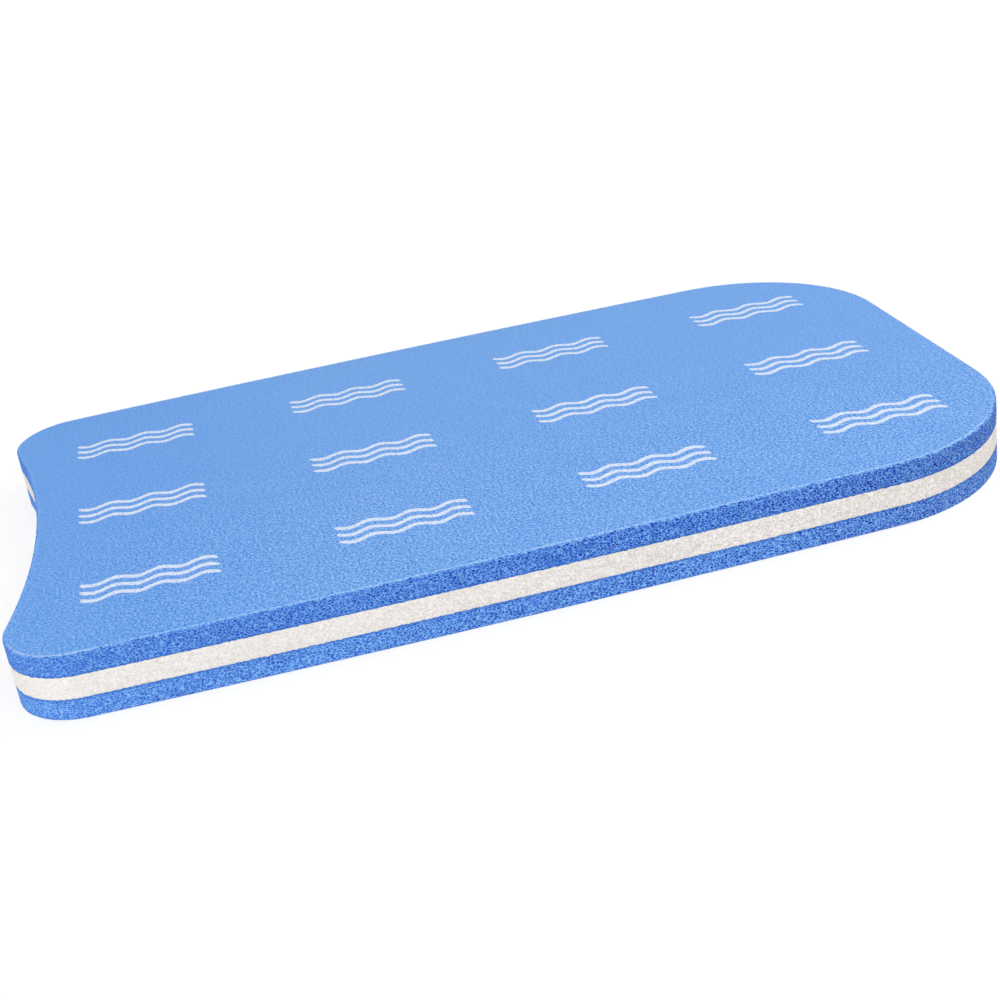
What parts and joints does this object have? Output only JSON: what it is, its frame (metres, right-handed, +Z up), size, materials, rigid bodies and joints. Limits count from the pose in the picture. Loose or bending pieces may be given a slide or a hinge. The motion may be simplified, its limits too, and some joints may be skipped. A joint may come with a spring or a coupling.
{
  "type": "kickboard",
  "caption": "Flat laminated foam kickboard with blue faces and a white core, a straight nose with large round corners and a shallow concave tail.",
  "frame": {"origin": "middle of the board's length and width, on the underside that it lies on", "axes": "+X from the notched tail to the straight nose, +Y across the board, +Z up through its thickness"},
  "size_m": [0.46, 0.28, 0.03],
  "materials": {
    "blue_foam": "closed-cell polyethylene foam, matt and finely grained",
    "white_foam": "closed-cell polyethylene foam, matt and finely grained, off-white"
  },
  "bodies": {
    "root": {"bottom_sheet": "blue_foam", "core_sheet": "white_foam", "top_sheet": "blue_foam"}
  },
  "joints": []
}
